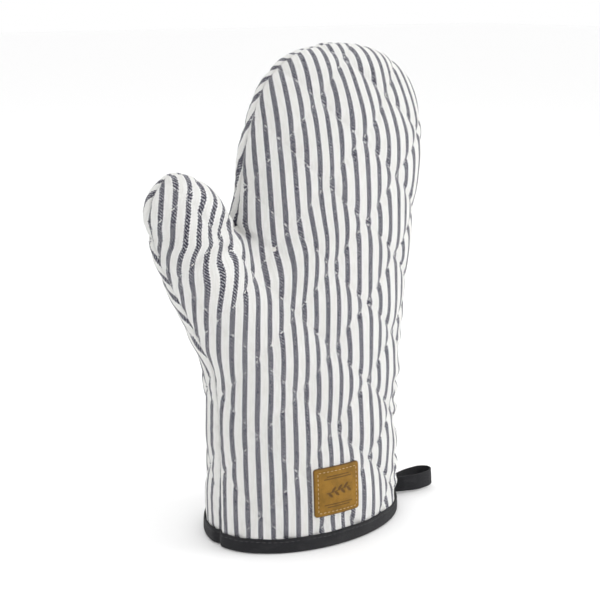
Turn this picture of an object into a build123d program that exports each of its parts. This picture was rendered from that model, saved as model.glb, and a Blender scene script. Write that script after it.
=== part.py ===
from build123d import *
import os
from math import atan2, degrees, floor, hypot

# Quilted oven mitt standing on its open cuff.
# Origin: midway between the two side seams, on the plane that the cuff stands on.
# +Z up towards the finger tips, +X towards the little-finger side (the hanging loop's side),
# -Y is the front (the back-of-hand panel with the leather label), +Y the palm panel.
# All sizes in millimetres.

# ---- fabric layers, counted inwards from the outer face ----
SHELL_THICKNESS = 0.8          # striped cotton
WADDING_THICKNESS = 4.2        # quilted heat-proof filling
LINING_THICKNESS = 0.8         # plain cotton
SHELL_INNER = SHELL_THICKNESS
WADDING_INNER = SHELL_INNER + WADDING_THICKNESS
LINING_INNER = WADDING_INNER + LINING_THICKNESS

# ---- outline of the mitt ----
# Each station of the hand pocket: height, left seam, right seam, front depth, palm depth.
HAND_STATIONS = [
    (0.0, -66.0, 66.0, 43.0, 56.0),
    (38.0, -66.0, 66.5, 41.5, 53.5),
    (75.0, -66.5, 67.0, 39.0, 50.0),
    (112.0, -69.0, 70.0, 38.0, 45.0),
    (150.0, -66.0, 75.0, 36.0, 39.0),
    (186.0, -54.0, 80.0, 34.0, 34.0),
    (214.0, -50.0, 85.0, 32.0, 30.0),
    (237.0, -46.5, 88.0, 30.0, 28.0),
    (256.0, -41.0, 85.5, 27.5, 26.0),
    (274.0, -33.0, 78.5, 22.5, 22.0),
    (287.0, -21.0, 66.0, 16.5, 16.5),
    (294.5, -6.0, 50.0, 10.0, 10.0),
    (298.0, 10.0, 36.0, 4.0, 4.0),
]
# Each station of the thumb, square to its own axis: centre x, centre z, half width, half depth.
THUMB_STATIONS = [
    (-38.0, 88.0, 14.0, 16.0),
    (-47.5, 116.0, 22.0, 23.5),
    (-58.5, 148.0, 27.0, 26.5),
    (-77.0, 183.0, 26.7, 24.0),
    (-88.0, 207.0, 23.5, 19.0),
    (-93.5, 222.5, 15.0, 11.0),
    (-95.5, 229.0, 3.0, 2.5),
]
# Inner layers end short of the outer tip: share of the inset taken off the length and kept off the
# width, for the last station, the one before it and the one before that.
TIP_RETREAT = (1.0, 0.75, 0.3)
TIP_WIDTH_KEPT = (0.8, 0.35, 0.0)
OUTER_ROOM = 400.0             # half size of the half-space blocks used for cutting

# ---- binding round the cuff ----
BINDING_THICKNESS = 1.2
BINDING_HEIGHT = 9.0
BINDING_INNER = LINING_INNER + BINDING_THICKNESS
SEWING_FOOT = BINDING_HEIGHT + 1.0   # seam allowance and quilting thread start above the binding
STITCH_HEIGHT = 7.6            # height of the stitch row on the binding
STITCH_WIDTH = 0.5
STITCH_PROUD = 0.2             # half of a stitch's thickness, which stands on the face
STITCH_CLEARANCE = 0.1         # thread to tape, so that the sloping face isn't cut
STITCH_PITCH = 3.6
STITCH_LENGTH = 2.5

# ---- seam allowance turned to the inside ----
ALLOWANCE_WIDTH = 6.0
ALLOWANCE_THICKNESS = 3.2

# ---- quilting ----
QUILT_PITCH = 49.0             # vertical distance between neighbouring lines
QUILT_SLOPE = 45.0             # degrees to the vertical
QUILT_RISING_START = -19.0     # where the rising lines cross the middle of the panel
QUILT_FALLING_START = 17.0
QUILT_THREAD = 0.6
QUILT_PROUD = 0.3
QUILT_FIRST = -2               # first line of each direction, counted from its start
QUILT_LINES = 9

# ---- leather label on the front panel ----
LABEL_WIDTH = 32.0
LABEL_HEIGHT = 30.0
LABEL_LEFT = -23.2
LABEL_FOOT = 20.0
LABEL_THICKNESS = 1.6
LABEL_CORNER = 1.5
LABEL_MARGIN = 0.4             # gap between the label and the quilting thread
LABEL_STITCH_INSET = 2.5
LABEL_STITCH_PITCH = 3.0
LABEL_STITCH_LENGTH = 2.0

# ---- hanging loop at the right seam ----
TAPE_WIDTH = 10.5
TAPE_THICKNESS = 1.2
LOOP_FOOT = 1.5                # height of the tape's lower edge
LOOP_CLEARANCE = 0.5           # gap between the sewn tail and the swinging loop
LOOP_REACH = 36.5              # hinge axis to the fold's outer face
LOOP_HALF_GAP = 5.2            # widest half opening between the two runs of tape
LOOP_LEAN = -4.0               # degrees that the loop leans to the front
TAIL_DEPTH = 5.6               # length of tape caught in the seam
LOOP_SPREAD = 0.62             # where the two runs are furthest apart, as a share of the reach
LOOP_ROOT_SLOPE = 0.12         # how fast the runs part at the root, and at their furthest
LOOP_SPREAD_SLOPE = 0.05
LOOP_SEWN = 4.2                # length from the axis where the two runs lie together


def station_slopes(stations, index, column):
    """How fast one column of a station table grows with its height."""
    low = stations[max(index - 1, 0)]
    high = stations[min(index + 1, len(stations) - 1)]
    return (high[column] - low[column]) / (high[0] - low[0])


def inset_station(index, inset):
    """A hand station moved square to the surface by the inset, inwards when positive."""
    height, left, right, front, palm = HAND_STATIONS[index]
    growth = [
        -station_slopes(HAND_STATIONS, index, 1),
        station_slopes(HAND_STATIONS, index, 2),
        station_slopes(HAND_STATIONS, index, 3),
        station_slopes(HAND_STATIONS, index, 4),
    ]
    across = [1 / hypot(1, slope) for slope in growth]
    upward = [-slope / hypot(1, slope) for slope in growth]
    drop = sum(upward) / len(upward)
    if index == 0:
        drop = 0.0
    if index == len(HAND_STATIONS) - 1:
        drop = 1.0
    shift = [inset * max(1 - drop * up, 0.0) / out for up, out in zip(upward, across)]
    return (height - inset * drop, left + shift[0], right - shift[1], front - shift[2], palm - shift[3])


def oval(plane, half_width, front, palm):
    """Closed outline of two half ellipses that meet at the side seams."""
    front_arc = EllipticalCenterArc((0, 0), half_width, front, start_angle=180, arc_size=180)
    palm_arc = EllipticalCenterArc((0, 0), half_width, palm, start_angle=0, arc_size=180)
    return plane * Wire([front_arc, palm_arc])


def hand_body(inset):
    """The closed hand pocket at one depth of the fabric."""
    outlines = []
    for index in range(len(HAND_STATIONS)):
        height, left, right, front, palm = inset_station(index, inset)
        plane = Plane(((left + right) / 2, 0, height))
        outlines.append(oval(plane, (right - left) / 2, front, palm))
    return Solid.make_loft(outlines)


def thumb_direction(index):
    """Direction of the thumb's axis at a station, as x and z."""
    low = THUMB_STATIONS[max(index - 1, 0)]
    high = THUMB_STATIONS[min(index + 1, len(THUMB_STATIONS) - 1)]
    length = hypot(high[0] - low[0], high[1] - low[1])
    return (high[0] - low[0]) / length, (high[1] - low[1]) / length


def thumb_body(inset):
    """The closed thumb at one depth of the fabric; its foot lies inside the hand pocket."""
    last = len(THUMB_STATIONS) - 1
    outlines = []
    for index, (x, z, half_width, half_depth) in enumerate(THUMB_STATIONS):
        along_x, along_z = thumb_direction(index)
        from_tip = last - index
        near_tip = from_tip < len(TIP_RETREAT)
        retreat = inset * TIP_RETREAT[from_tip] if near_tip else 0.0
        narrowing = inset * (1 - TIP_WIDTH_KEPT[from_tip]) if near_tip else inset
        centre = (x - along_x * retreat, 0, z - along_z * retreat)
        plane = Plane(centre, x_dir=(along_z, 0, -along_x), z_dir=(along_x, 0, along_z))
        depth = half_depth - narrowing
        outlines.append(oval(plane, half_width - narrowing, depth, depth))
    return Solid.make_loft(outlines)


BODIES = {}                    # bodies already made, by inset


def mitt_body(inset):
    """The whole mitt as one closed solid, bounded by the layer at this depth."""
    if inset not in BODIES:
        BODIES[inset] = hand_body(inset) + thumb_body(inset)
    return BODIES[inset]


def block(low, high):
    """Box between two opposite corners."""
    size = [high[axis] - low[axis] for axis in range(3)]
    centre = [(high[axis] + low[axis]) / 2 for axis in range(3)]
    return Pos(*centre) * Box(*size)


def half_space(side, foot, head=OUTER_ROOM):
    """Everything on the front (-1) or palm (+1) side of the seam plane, between two heights."""
    near, far = sorted((0.0, side * OUTER_ROOM))
    return block((-OUTER_ROOM, near, foot), (OUTER_ROOM, far, head))


def layer(outer, inner):
    """The shell of material between two depths."""
    return mitt_body(outer) - mitt_body(inner)


def loop_tail():
    """Both ends of the tape, lying together in the side seam."""
    outer_face = HAND_STATIONS[0][2] + BINDING_THICKNESS
    return block(
        (outer_face - BINDING_THICKNESS - TAIL_DEPTH + SHELL_THICKNESS, -TAPE_THICKNESS, LOOP_FOOT),
        (outer_face, TAPE_THICKNESS, LOOP_FOOT + TAPE_WIDTH),
    )


def panel(side, outer, inner, tail):
    """One layer of the front or palm panel, from inside the binding upwards."""
    return (layer(outer, inner) & half_space(side, BINDING_THICKNESS)) - tail


def cuff_binding(tail):
    """Tape folded over the raw edge: outer leg, turned foot and inner leg."""
    band = block((-OUTER_ROOM, -OUTER_ROOM, 0), (OUTER_ROOM, OUTER_ROOM, BINDING_HEIGHT))
    groove = block((-OUTER_ROOM, -OUTER_ROOM, BINDING_THICKNESS), (OUTER_ROOM, OUTER_ROOM, OUTER_ROOM))
    ring = layer(-BINDING_THICKNESS, BINDING_INNER) & band
    slot = layer(0.0, LINING_INNER) & groove
    return ring - slot - tail


def binding_stitching():
    """The row of stitches that closes the binding, as separate short stitches on its outer face."""
    level = Plane((0, 0, STITCH_HEIGHT))
    outline = section(mitt_body(-BINDING_THICKNESS), section_by=level).faces()[0].outer_wire()
    count = floor(outline.length / STITCH_PITCH)
    stitch = Box(STITCH_LENGTH, 2 * STITCH_PROUD, STITCH_WIDTH)
    stitches = []
    for index in range(count):
        foot = outline.position_at(index / count)
        along = outline.tangent_at(index / count)
        outward = along.cross(Vector(0, 0, 1))
        if outward.dot(foot) < 0:
            outward = -outward
        near_tail = foot.X > 0 and abs(foot.Y) < 2 * STITCH_PITCH
        if not near_tail:
            middle = foot + outward * (STITCH_PROUD + STITCH_CLEARANCE)
            turn = degrees(atan2(along.Y, along.X))
            stitches.append(Pos(middle.X, middle.Y, STITCH_HEIGHT) * Rot(0, 0, turn) * stitch)
    return Compound(stitches)


def seam_allowance():
    """The overlocked edges of all layers, turned to the inside along the side seam."""
    ring = layer(LINING_INNER, LINING_INNER + ALLOWANCE_WIDTH)
    half = ALLOWANCE_THICKNESS / 2
    return ring & block((-OUTER_ROOM, -half, SEWING_FOOT), (OUTER_ROOM, half, OUTER_ROOM))


def label_blank(outer, inner, margin=0.0):
    """The label's outline cut out of the layer that lies on the front panel."""
    centre = (LABEL_LEFT + LABEL_WIDTH / 2, 0, LABEL_FOOT + LABEL_HEIGHT / 2)
    plane = Plane(centre, x_dir=(1, 0, 0), z_dir=(0, -1, 0))
    outline = RectangleRounded(LABEL_WIDTH + 2 * margin, LABEL_HEIGHT + 2 * margin, LABEL_CORNER + margin)
    prism = extrude(plane * outline, amount=OUTER_ROOM)
    return layer(outer, inner) & prism


def face_point(body, x, z):
    """Where a body's front face is, straight in front of a place on the seam plane."""
    inside = body & Edge.make_line((x, -OUTER_ROOM, z), (x, 0, z))
    return min((corner.center() for corner in inside.vertices()), key=lambda point: point.Y)


def label_stitch(x, z, upright):
    """One stitch on the label's face."""
    body = mitt_body(-LABEL_THICKNESS)
    here = face_point(body, x, z)
    across = face_point(body, x + STITCH_WIDTH, z) - here
    upward = face_point(body, x, z + STITCH_WIDTH) - here
    width, height = (STITCH_WIDTH, LABEL_STITCH_LENGTH) if upright else (LABEL_STITCH_LENGTH, STITCH_WIDTH)
    face = Plane(here, x_dir=across, z_dir=across.cross(upward))
    return face * Pos(0, 0, STITCH_PROUD + STITCH_CLEARANCE) * Box(width, height, 2 * STITCH_PROUD)


def evenly(low, high, pitch):
    """Places of the stitches along one side of the label."""
    count = floor((high - low) / pitch)
    return [low + (step + 0.5) * (high - low) / count for step in range(count)]


def label_stitching():
    """Stitches round the label's edge, as separate short stitches."""
    low_x = LABEL_LEFT + LABEL_STITCH_INSET
    high_x = LABEL_LEFT + LABEL_WIDTH - LABEL_STITCH_INSET
    low_z = LABEL_FOOT + LABEL_STITCH_INSET
    high_z = LABEL_FOOT + LABEL_HEIGHT - LABEL_STITCH_INSET
    stitches = []
    for x in evenly(low_x, high_x, LABEL_STITCH_PITCH):
        stitches += [label_stitch(x, z, False) for z in (low_z, high_z)]
    for z in evenly(low_z, high_z, LABEL_STITCH_PITCH):
        stitches += [label_stitch(x, z, True) for x in (low_x, high_x)]
    return Compound(stitches)


def quilting_thread(side, keep_out):
    """The lattice of quilting thread that lies in the face of one panel."""
    skin = layer(-QUILT_PROUD, 0.0) & half_space(side, SEWING_FOOT)
    slabs = []
    for slope, start in ((QUILT_SLOPE, QUILT_RISING_START), (-QUILT_SLOPE, QUILT_FALLING_START)):
        for step in range(QUILT_FIRST, QUILT_LINES):
            place = Pos(0, 0, start + step * QUILT_PITCH) * Rot(0, -slope, 0)
            slabs.append(place * Box(2 * OUTER_ROOM, 2 * OUTER_ROOM, QUILT_THREAD))
    lattice = slabs[0].fuse(*slabs[1:])
    thread = skin & lattice
    if keep_out is not None:
        thread = thread - keep_out
    return thread


def hanging_loop():
    """Folded tape standing on edge: two runs that open from the root and meet in the end fold."""
    hinge = loop_hinge()
    nose = TAPE_THICKNESS
    runs = []
    for inner in (0.0, TAPE_THICKNESS):
        tip = LOOP_REACH - inner
        gap = LOOP_HALF_GAP + TAPE_THICKNESS - inner
        side = Spline(
            (LOOP_SEWN * (inner > 0), nose - inner), (LOOP_REACH * LOOP_SPREAD, gap), (tip, 0),
            tangents=[(1, LOOP_ROOT_SLOPE), (1, LOOP_SPREAD_SLOPE), (0, -1)])
        runs.append(side)
    outer_half = runs[0]
    inner_half = runs[1]
    outer_edge = Line((0, 0), (0, nose))
    outer_face = make_face(outer_edge + outer_half + Line((LOOP_REACH, 0), (0, 0)))
    inner_face = make_face(inner_half + Line((LOOP_REACH - TAPE_THICKNESS, 0), (LOOP_SEWN, 0)))
    half_profile = outer_face - inner_face
    profile = half_profile + mirror(half_profile, about=Plane.XZ)
    profile = profile + Circle(nose)
    tape = extrude(profile, amount=TAPE_WIDTH)
    return Pos(hinge[0], hinge[1], LOOP_FOOT) * Rot(0, 0, LOOP_LEAN) * tape


def loop_hinge():
    """Axis about which the loop swings, just outside the binding."""
    outer_face = HAND_STATIONS[0][2] + BINDING_THICKNESS
    return outer_face + LOOP_CLEARANCE + TAPE_THICKNESS, 0.0


def build_nodes():
    """Every sub-part by name."""
    tail = loop_tail()
    label_margin = label_blank(-QUILT_PROUD, 0.0, margin=LABEL_MARGIN)
    return {
        "front_shell": panel(-1, 0.0, SHELL_INNER, tail),
        "palm_shell": panel(1, 0.0, SHELL_INNER, tail),
        "front_wadding": panel(-1, SHELL_INNER, WADDING_INNER, tail),
        "palm_wadding": panel(1, SHELL_INNER, WADDING_INNER, tail),
        "front_lining": panel(-1, WADDING_INNER, LINING_INNER, tail),
        "palm_lining": panel(1, WADDING_INNER, LINING_INNER, tail),
        "front_quilting_thread": quilting_thread(-1, label_margin),
        "palm_quilting_thread": quilting_thread(1, None),
        "turned_seam_allowance": seam_allowance(),
        "cuff_binding": cuff_binding(tail),
        "binding_stitching": binding_stitching(),
        "leather_label": label_blank(-LABEL_THICKNESS, 0.0),
        "label_stitching": label_stitching(),
        "loop_tail": tail,
        "hanging_loop": hanging_loop(),
    }


os.makedirs("parts", exist_ok=True)
for name, shape in build_nodes().items():
    export_step(shape, f"parts/{name}.step")
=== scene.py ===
import bpy
import numpy as np
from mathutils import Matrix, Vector, geometry, kdtree
from mathutils.bvhtree import BVHTree
from mathutils.interpolate import poly_3d_calc


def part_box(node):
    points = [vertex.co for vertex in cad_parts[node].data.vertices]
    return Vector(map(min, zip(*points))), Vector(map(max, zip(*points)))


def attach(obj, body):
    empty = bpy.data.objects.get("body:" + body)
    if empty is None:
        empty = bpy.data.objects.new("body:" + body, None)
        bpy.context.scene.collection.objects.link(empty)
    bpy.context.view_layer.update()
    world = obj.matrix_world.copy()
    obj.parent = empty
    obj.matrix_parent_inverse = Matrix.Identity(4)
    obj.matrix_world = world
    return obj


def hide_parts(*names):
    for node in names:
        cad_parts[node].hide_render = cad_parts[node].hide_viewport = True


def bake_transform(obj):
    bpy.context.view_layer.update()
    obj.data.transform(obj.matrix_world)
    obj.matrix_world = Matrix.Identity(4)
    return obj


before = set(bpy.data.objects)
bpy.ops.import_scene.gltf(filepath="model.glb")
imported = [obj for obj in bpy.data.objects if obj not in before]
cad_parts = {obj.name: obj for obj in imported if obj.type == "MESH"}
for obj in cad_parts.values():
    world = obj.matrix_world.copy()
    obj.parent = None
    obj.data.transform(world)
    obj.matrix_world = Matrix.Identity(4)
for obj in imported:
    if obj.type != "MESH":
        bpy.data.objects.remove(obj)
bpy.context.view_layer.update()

MM = 0.001  # shapes are worked out in millimetres and made in metres
FRONT, PALM = -1, 1  # the side of the seam plane that a panel lies on

# ---- outline, the same stations as the CAD model, with a closing station at each tip ----
HAND = np.array([  # height, left seam, right seam, front depth, palm depth
    (0.0, -66.0, 66.0, 43.0, 56.0),
    (38.0, -66.0, 66.5, 41.5, 53.5),
    (75.0, -66.5, 67.0, 39.0, 50.0),
    (112.0, -69.0, 70.0, 38.0, 45.0),
    (150.0, -66.0, 75.0, 36.0, 39.0),
    (186.0, -54.0, 80.0, 34.0, 34.0),
    (214.0, -50.0, 85.0, 32.0, 30.0),
    (237.0, -46.5, 88.0, 30.0, 28.0),
    (256.0, -41.0, 85.5, 27.5, 26.0),
    (274.0, -33.0, 78.5, 22.5, 22.0),
    (287.0, -21.0, 66.0, 16.5, 16.5),
    (294.5, -6.0, 50.0, 10.0, 10.0),
    (298.0, 10.0, 36.0, 4.5, 4.5),
    (299.4, 22.5, 24.5, 0.3, 0.3),
])
THUMB = np.array([  # centre x, centre z, half width, half depth
    (-38.0, 88.0, 14.0, 16.0),
    (-47.5, 116.0, 22.0, 23.5),
    (-58.5, 148.0, 27.0, 26.5),
    (-77.0, 183.0, 26.7, 24.0),
    (-88.0, 207.0, 23.5, 19.0),
    (-93.5, 222.5, 15.0, 11.0),
    (-95.6, 229.0, 4.0, 3.0),
    (-96.0, 230.3, 0.4, 0.3),
])

# ---- layers and panels, in millimetres ----
SHELL, WADDING, LINING = 0.8, 4.2, 0.7
WADDING_START = 3.1  # the wadding's outer face, which the deepest quilting doesn't reach
LAYER_GAP = 0.05  # between wadding and lining, and from each of them to the seam plane
SHELL_GAP = 0.04  # from the shell to the seam plane
HEM_LIFT = 1.3  # the panels' edges stand on the binding's fold
MESH_STEP = 5.3  # spacing of a panel's base mesh
FIRST_GAP, LAST_GAP = 0.6, 0.55  # least gap from a row's inner points to the seam, in mesh steps
ROW_POINTS = 361  # points of a section before it is sampled
FALL_OFF = 3.0  # how steeply a pocket's depth falls outside its own outline
WEB_SHARP, WEB_SOFTENS, WEB_RUN = 1.0, 9.0, 60.0  # rounding of the thumb into the hand, from the crotch down
EDGE_ROUND = 2.0  # width over which a section turns in to the seam
TIP_GAP = 0.25  # the last row's distance from the very tip
FORK_GAP = 0.3  # flat height of the crotch over the last row below it
SLIDE_SLOPE, SLIDE_MOST = 1.5, 6.0  # how the thumb's rows are slid clear of the hand's to be triangulated

# ---- flat pattern ----
FLATTEN_STEPS = {FRONT: 30, PALM: 300}  # the front is eased by given amounts as well
FLATTEN_PACE = 0.7  # share of the mean stretch that a flat point takes up in one step
EASE_LINE, EASE_SPREAD = -49.0, 0.75  # line between thumb and hand: its x at the crotch, and how it leans
THUMB_EASE, THUMB_EASE_HEIGHT, THUMB_EASE_BELOW, THUMB_EASE_ABOVE = 9.5, 196.0, 26.0, 27.0
HAND_EASE, HAND_EASE_HEIGHT, HAND_EASE_RUN = 3.6, 174.0, 20.0
HAND_EASE_PLACE, HAND_EASE_WIDTH = 38.0, 17.0
FAR_EASE, FAR_EASE_START, FAR_EASE_FOOT, FAR_EASE_HEAD = 0.15, 4.0, 243.0, 278.0

# ---- quilting and relief of the cloth ----
QUILT_PITCH = 49.0
QUILT_RISING, QUILT_FALLING = -19.0, 17.0  # flat heights of the first lines over the middle of the hem
QUILT_SINK, PUFF_HEIGHT, PUFF_REACH = 1.1, 1.75, 4.2
GROOVE_DEPTH, GROOVE_WIDTH = 0.55, 1.3
SWELL, SWELL_SIZE = 0.5, 42.0
CREASE, CREASE_SIZE, CREASE_REACH = 0.3, 12.0, 5.0
FOLD, FOLD_PITCH, FOLD_WANDER, FOLD_SIZE = 1.4, 15.5, 1.6, 45.0
SEAM_FADE = 6.0  # the quilting fades out this near to the side seam
SEAM_DEPTH, SEAM_WIDTH = 2.3, 2.3
PUCKER, PUCKER_PITCH, PUCKER_START = 0.4, 7.5, 1.5
HEM_SINK, HEM_REACH = 1.0, 5.0
TUCK_DIRECTION = np.array([0.70, 0.714])  # to the right and down from the crotch
TUCK_LENGTH, TUCK_DEPTH = 46.0, 3.2
TUCK_WIDTH, TUCK_SPREAD, TUCK_BEND, TUCK_START = 1.5, 0.05, 0.006, 3.0

# ---- stitches ----
STITCH_PITCH, STITCH_LENGTH, STITCH_RADIUS = 3.3, 2.4, 0.26
STITCH_SHARES = np.linspace(-0.5, 0.5, 5)  # places along one stitch where the cloth is measured
STITCH_SINK = 0.08  # how far a stitch's ends are drawn into the cloth
STITCH_LIFT = 0.2  # how far its middle stands on the cloth
STITCH_SIDES, STITCH_FLATNESS = 6, 0.7
SEWN_ABOVE = 9.5  # the quilting's stitches start over the binding

# ---- binding ----
SEAM_NOTCH, NOTCH_WIDTH, NOTCH_RUN = 2.4, 2.6, 45.0  # the binding is drawn in at each side seam
BINDING_STEPS = 560
BINDING_STITCH_PITCH, BINDING_STITCH_HALF, BINDING_STITCH_RADIUS = 3.4, 1.15, 0.24
BINDING_STITCH_HEIGHT, BINDING_STITCH_OUT = 7.45, 1.12

# ---- label ----
LABEL_LOW = np.array(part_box("leather_label")[0]) / MM
LABEL_HIGH = np.array(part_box("leather_label")[1]) / MM
LABEL_MIDDLE = (LABEL_LOW + LABEL_HIGH) / 2
LABEL_SIZE = LABEL_HIGH - LABEL_LOW
LABEL_FADE = 6.0  # the quilting fades out this near to the label
LABEL_THICK, LABEL_CORNER, LABEL_INSET, LABEL_BACK = 1.5, 1.8, 2.4, 0.12
LABEL_STITCH_PITCH, LABEL_STITCH_HALF = 2.7, 0.85

# ---- hanging loop ----
TAPE_HALF = 0.55  # half the tape's thickness
TAPE_LEAN, TAPE_LIFT = 0.35, 0.5  # how the loop leans out and rises towards its fold
LOOP_STEPS = 150

# ---- studio, in metres ----
WORLD_LIGHT = 1.0
LAMPS = (("key", (1.2, -0.9, 1.0), 10.5, 0.9), ("top", (-0.2, 0.3, 1.9), 5.0, 1.0))  # place, watts, size
LAMP_AIM = (0, 0, 0.15)
FLOOR, FLOOR_HALF = -0.0002, 9  # just under the binding, so that the two don't share a plane
CAMERA_PLACE, CAMERA_AIM, CAMERA_LENS = (-0.4731, -0.6225, 0.3290), (-0.004, 0.0, 0.1441), 78.7

# ---- cloth and thread colours ----
STRIPE_PITCH, STRIPE_PHASE = 7.65, 0.87
STRIPE_HALF, STRIPE_BLUR = 1.3, 0.45
TWILL_PITCH, WEAVE_PITCH, RIB_PITCH = 1.75, 0.62, 0.8
CHARCOAL, WORN_CHARCOAL = (0.022, 0.020, 0.042, 1), (0.46, 0.46, 0.49, 1)
CREAM, PALE_CREAM, EDGE_CREAM = (0.79, 0.785, 0.76, 1), (0.88, 0.88, 0.865, 1), (0.94, 0.94, 0.935, 1)
CROSS_CREAM, CLOUD_CREAM, NEP = (0.66, 0.65, 0.62, 1), (0.74, 0.725, 0.69, 1), (0.42, 0.38, 0.33, 1)
TAPE_BLACKS = (0.012, 0.012, 0.014, 1), (0.026, 0.026, 0.029, 1)
TAPE_WORN, TAPE_LINT = (0.036, 0.036, 0.039, 1), (0.09, 0.09, 0.10, 1)
TANS = (0.20, 0.100, 0.006, 1), (0.31, 0.155, 0.014, 1)
TAN_GRAIN, TAN_PRESSED = (0.17, 0.08, 0.008, 1), (0.075, 0.035, 0.008, 1)


def steady_curve(knots, values, at):
    """Smooth curve through the knots that never overshoots them."""
    gap = np.diff(knots)
    slope = np.diff(values) / gap
    tangent = np.zeros(len(knots))
    same = slope[:-1] * slope[1:] > 0
    first, second = 2 * gap[1:] + gap[:-1], gap[1:] + 2 * gap[:-1]
    safe_low = np.where(same, slope[:-1], 1.0)
    safe_high = np.where(same, slope[1:], 1.0)
    tangent[1:-1] = np.where(same, (first + second) / (first / safe_low + second / safe_high), 0.0)
    tangent[0], tangent[-1] = slope[0], slope[-1]
    i = np.clip(np.searchsorted(knots, at) - 1, 0, len(gap) - 1)
    t = (at - knots[i]) / gap[i]
    return ((2 * t**3 - 3 * t**2 + 1) * values[i] + (t**3 - 2 * t**2 + t) * gap[i] * tangent[i]
            + (-2 * t**3 + 3 * t**2) * values[i + 1] + (t**3 - t**2) * gap[i] * tangent[i + 1])


def hump(value, width):
    """A smooth hump: 1 at 0, and almost gone at twice the width."""
    return np.exp(-(value / width) ** 2)


def ramp(value, start, end):
    """0 up to the start, 1 from the end on, and straight between them."""
    return np.clip((value - start) / (end - start), 0, 1)


def unit(rows):
    """The rows, each made 1 long."""
    return rows / (np.linalg.norm(rows, axis=-1, keepdims=True) + 1e-12)


def walked(curve):
    """Length along a curve up to each of its points."""
    return np.concatenate([[0], np.cumsum(np.linalg.norm(np.diff(curve, axis=0), axis=1))])


def hand_at(z, side):
    """Left seam, right seam and depth of the hand pocket at a height."""
    depth = 3 if side == FRONT else 4
    return tuple(steady_curve(HAND[:, 0], HAND[:, k], z) for k in (1, 2, depth))


THUMB_STEPS = np.linspace(0, 1, 240)


def thumb_axis():
    """The thumb's ovals, square to its axis: centre x and z, half width, half depth, direction."""
    along = walked(THUMB[:, :2])
    x, z, width, depth = (steady_curve(along / along[-1], THUMB[:, k], THUMB_STEPS) for k in range(4))
    turn = np.stack([np.gradient(x), np.gradient(z)])
    return x, z, width, depth, turn / np.hypot(*turn)


THUMB_X, THUMB_Z, THUMB_WIDTH, THUMB_DEPTH, THUMB_TURN = thumb_axis()


def thumb_section(z, angles=np.linspace(np.pi, 0, 91)):
    """The thumb's outline at a height: x, depth and true height of each point, from left to right."""
    points = []
    for angle in angles:
        reach = THUMB_WIDTH * np.cos(angle)
        heights = THUMB_Z - reach * THUMB_TURN[0]
        step = np.interp(z, heights, THUMB_STEPS)
        spot = [np.interp(step, THUMB_STEPS, row) for row in (
            THUMB_X + reach * THUMB_TURN[1], THUMB_DEPTH * np.sin(angle), heights)]
        points.append(spot)
    return np.array(points)


def crotch_height():
    """Height at which the thumb's right seam leaves the hand's left seam."""
    heights = np.arange(150.0, 222.0, 0.25)
    gap = [thumb_section(z, [0.0])[0, 0] - hand_at(z, FRONT)[0] for z in heights]
    return float(heights[np.argmax(np.array(gap) < 0)])


CROTCH = crotch_height()


def row_curve(z, side):
    """One horizontal section of a panel from left to right, as x, depth, z."""
    left, right, depth = hand_at(z, side)
    centre, half = (left + right) / 2, (right - left) / 2
    if z > CROTCH or z < THUMB[0, 1]:
        angle = np.linspace(np.pi, 0, ROW_POINTS)
        return np.stack([centre + half * np.cos(angle), depth * np.sin(angle), np.full(ROW_POINTS, z)], 1)
    thumb = thumb_section(z)
    low = min(left, thumb[0, 0])
    count = 2 * ROW_POINTS - 1
    x = (low + right) / 2 + (right - low) / 2 * np.cos(np.linspace(np.pi, 0, count))
    inside = np.clip(1 - ((x - centre) / half) ** 2, 0, None)
    hand_depth = depth * np.sqrt(inside) - FALL_OFF * np.clip(left - x, 0, None)
    outside = np.clip(x - thumb[-1, 0], 0, None) + np.clip(thumb[0, 0] - x, 0, None)
    thumb_depth = np.interp(x, thumb[:, 0], thumb[:, 1]) - FALL_OFF * outside
    soft = WEB_SHARP + WEB_SOFTENS * ramp(z, CROTCH, CROTCH - WEB_RUN)
    top = (hand_depth + thumb_depth + np.sqrt((hand_depth - thumb_depth) ** 2 + soft**2)) / 2
    ends = np.clip(np.minimum(x - low, right - x) / EDGE_ROUND, 0, 1)
    return np.stack([x, np.clip(top, 0, None) * np.sqrt(ends), np.full(count, z)], 1)


def sample_row(curve, across, v, odd):
    """Evenly spaced points of a row: first and last are on the seam. Returns 3-D points and flat points."""
    start, end = across[0], across[-1]
    first = np.ceil((start + FIRST_GAP * MESH_STEP) / MESH_STEP - 0.5 * odd) + 0.5 * odd
    inner = np.arange(first * MESH_STEP, end - LAST_GAP * MESH_STEP, MESH_STEP)
    u = np.concatenate([[start], inner, [end]])
    point = np.stack([np.interp(u, across, curve[:, k]) for k in range(3)], 1)
    return point, np.stack([u, np.full(len(u), v)], 1)


def height_rows(z, depth):
    """Heights of rows that are evenly spaced along the cloth, and how far up the cloth each one is."""
    up = walked(np.stack([z, depth], 1))
    count = int(up[-1] / MESH_STEP)
    v = np.arange(count + 1) * (up[-1] / count)
    return np.interp(v, up, z), v


def hand_rows(side):
    """Rows of the wrist and the hand, and the last row below the crotch, where the thumb forks off."""
    fine = np.linspace(0, HAND[-1, 0] - TIP_GAP, 3000)
    mean_depth = (hand_at(fine, FRONT)[2] + hand_at(fine, PALM)[2]) / 2
    rows = []
    for k, (z, v) in enumerate(zip(*height_rows(fine, mean_depth))):
        curve = row_curve(z, side)
        left, right, _ = hand_at(z, side)
        centre = (left + right) / 2
        length = walked(curve)
        across = centre + length - np.interp(centre, curve[:, 0], length)
        rows.append(sample_row(curve, across, v, k % 2))
        if z <= CROTCH:
            fork = k, z, v, curve, across
    return rows, fork


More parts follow.
